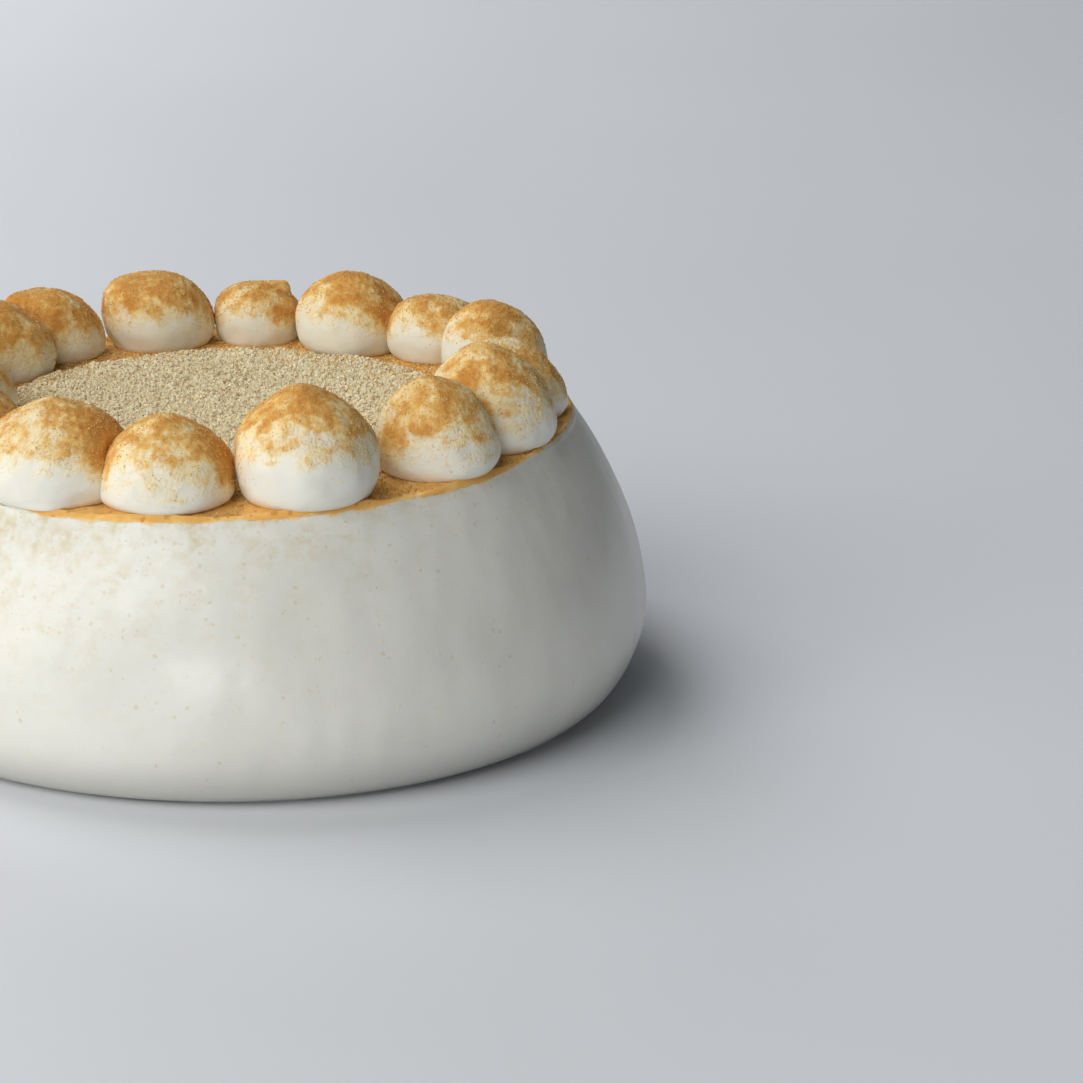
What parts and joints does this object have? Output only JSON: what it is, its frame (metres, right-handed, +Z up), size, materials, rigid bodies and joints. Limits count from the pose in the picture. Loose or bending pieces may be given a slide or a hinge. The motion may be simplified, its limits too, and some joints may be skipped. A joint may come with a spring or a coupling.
{
  "type": "tofu cheesecake",
  "caption": "Whole round tofu cheesecake with an ivory cream coat, a ring of piped cream domes dusted with roasted soybean powder, and a bed of pale crumbs.",
  "frame": {"origin": "middle of the round foot, on the surface that the cake stands on", "axes": "+Z up, -Y towards the side that the picture shows, +X to its right"},
  "size_m": [0.18, 0.18, 0.0813],
  "materials": {
    "cream_coat": "satin",
    "dusted_cream": "matte",
    "crumbs": "matte"
  },
  "bodies": {
    "root": {"cake_body": "cream_coat", "crumb_bed": "crumbs", "cream_dome_01": "dusted_cream", "cream_dome_02": "dusted_cream", "cream_dome_03": "dusted_cream", "cream_dome_04": "dusted_cream", "cream_dome_05": "dusted_cream", "cream_dome_06": "dusted_cream", "cream_dome_07": "dusted_cream", "cream_dome_08": "dusted_cream", "cream_dome_09": "dusted_cream", "cream_dome_10": "dusted_cream", "cream_dome_11": "dusted_cream", "cream_dome_12": "dusted_cream", "cream_dome_13": "dusted_cream", "cream_dome_14": "dusted_cream", "cream_dome_15": "dusted_cream", "cream_dome_16": "dusted_cream"}
  },
  "joints": []
}
